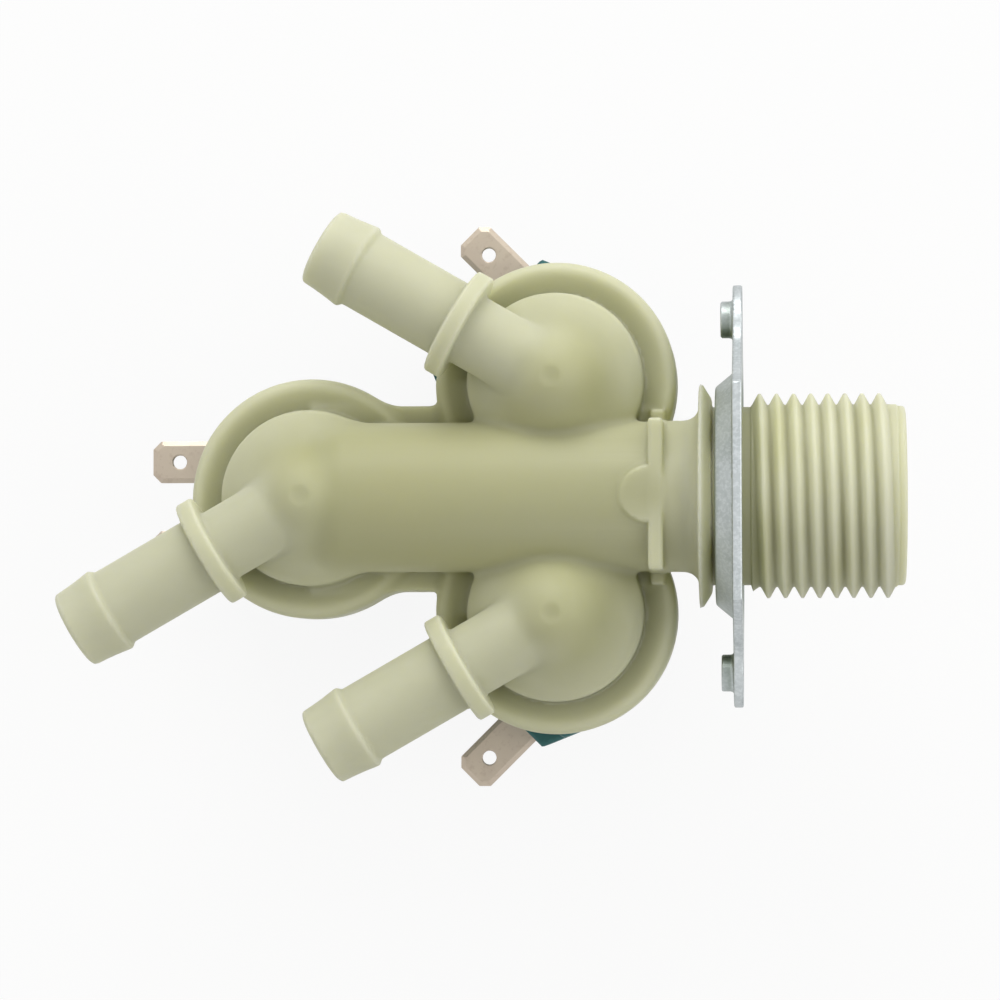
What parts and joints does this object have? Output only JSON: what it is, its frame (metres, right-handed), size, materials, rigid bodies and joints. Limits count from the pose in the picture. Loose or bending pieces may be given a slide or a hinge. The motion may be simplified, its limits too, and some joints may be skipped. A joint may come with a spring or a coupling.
{
  "type": "solenoid water inlet valve",
  "caption": "Solenoid water valve with a threaded inlet, round diaphragm chambers, barbed hose outlets, teal coils and a dished steel bracket plate.",
  "frame": {"origin": "on the inlet axis, in the outer face of the mounting plate", "axes": "+X out of the threaded inlet, +Z out of the domed outlet side, coils towards -Z"},
  "size_m": [0.1104, 0.0776, 0.0561],
  "materials": {
    "nylon": "natural nylon, satin, slightly translucent",
    "zinc_plate": "zinc plated sheet",
    "filter_plastic": "moulded strainer",
    "rubber": "matt black rubber",
    "coil_plastic": "teal encapsulation, matt",
    "bobbin_plastic": "moulded bobbin",
    "copper_wire": "enamelled copper wire",
    "tinned_tab": "tinned brass",
    "frame_steel": "zinc plated strip",
    "bonnet_plastic": "moulded guide tube",
    "plunger_steel": "turned soft steel",
    "spring_steel": "spring wire",
    "insert_plastic": "moulded insert"
  },
  "bodies": {
    "valve": {"valve_body": "nylon", "mounting_plate": "zinc_plate", "inlet_filter": "filter_plastic", "flow_washer": "rubber", "coil_end": "coil_plastic", "coil_right": "coil_plastic", "coil_left": "coil_plastic", "bobbin_end": "bobbin_plastic", "bobbin_right": "bobbin_plastic", "bobbin_left": "bobbin_plastic", "winding_end": "copper_wire", "winding_right": "copper_wire", "winding_left": "copper_wire", "terminals_end": "tinned_tab", "terminals_right": "tinned_tab", "terminals_left": "tinned_tab", "yoke_end": "frame_steel", "yoke_right": "frame_steel", "yoke_left": "frame_steel", "bonnet_end": "bonnet_plastic", "bonnet_right": "bonnet_plastic", "bonnet_left": "bonnet_plastic", "plunger_spring_end": "spring_steel", "plunger_spring_right": "spring_steel", "plunger_spring_left": "spring_steel", "diaphragm_end": "rubber", "diaphragm_right": "rubber", "diaphragm_left": "rubber"},
    "armature_end": {"plunger_end": "plunger_steel", "plunger_tip_end": "rubber"},
    "pilot_end": {"diaphragm_insert_end": "insert_plastic"},
    "armature_right": {"plunger_right": "plunger_steel", "plunger_tip_right": "rubber"},
    "pilot_right": {"diaphragm_insert_right": "insert_plastic"},
    "armature_left": {"plunger_left": "plunger_steel", "plunger_tip_left": "rubber"},
    "pilot_left": {"diaphragm_insert_left": "insert_plastic"}
  },
  "joints": [
    {"name": "plunger_slide_end", "type": "slide", "parent": "valve", "child": "armature_end", "axis": [0, 0, -1], "range_m": [0, 0.003], "stiffness_N_per_m": 80, "springref_m": -0.015, "deforming": ["plunger_spring_end"]},
    {"name": "pilot_slide_end", "type": "slide", "parent": "valve", "child": "pilot_end", "axis": [0, 0, -1], "range_m": [0, 0.0018], "deforming": ["diaphragm_end"]},
    {"name": "plunger_slide_right", "type": "slide", "parent": "valve", "child": "armature_right", "axis": [0, 0, -1], "range_m": [0, 0.003], "stiffness_N_per_m": 80, "springref_m": -0.015, "deforming": ["plunger_spring_right"]},
    {"name": "pilot_slide_right", "type": "slide", "parent": "valve", "child": "pilot_right", "axis": [0, 0, -1], "range_m": [0, 0.0018], "deforming": ["diaphragm_right"]},
    {"name": "plunger_slide_left", "type": "slide", "parent": "valve", "child": "armature_left", "axis": [0, 0, -1], "range_m": [0, 0.003], "stiffness_N_per_m": 80, "springref_m": -0.015, "deforming": ["plunger_spring_left"]},
    {"name": "pilot_slide_left", "type": "slide", "parent": "valve", "child": "pilot_left", "axis": [0, 0, -1], "range_m": [0, 0.0018], "deforming": ["diaphragm_left"]}
  ],
  "couplings": [
    {"joint": "pilot_slide_end", "follows": "plunger_slide_end", "ratio": 0.6},
    {"joint": "pilot_slide_right", "follows": "plunger_slide_right", "ratio": 0.6},
    {"joint": "pilot_slide_left", "follows": "plunger_slide_left", "ratio": 0.6}
  ]
}
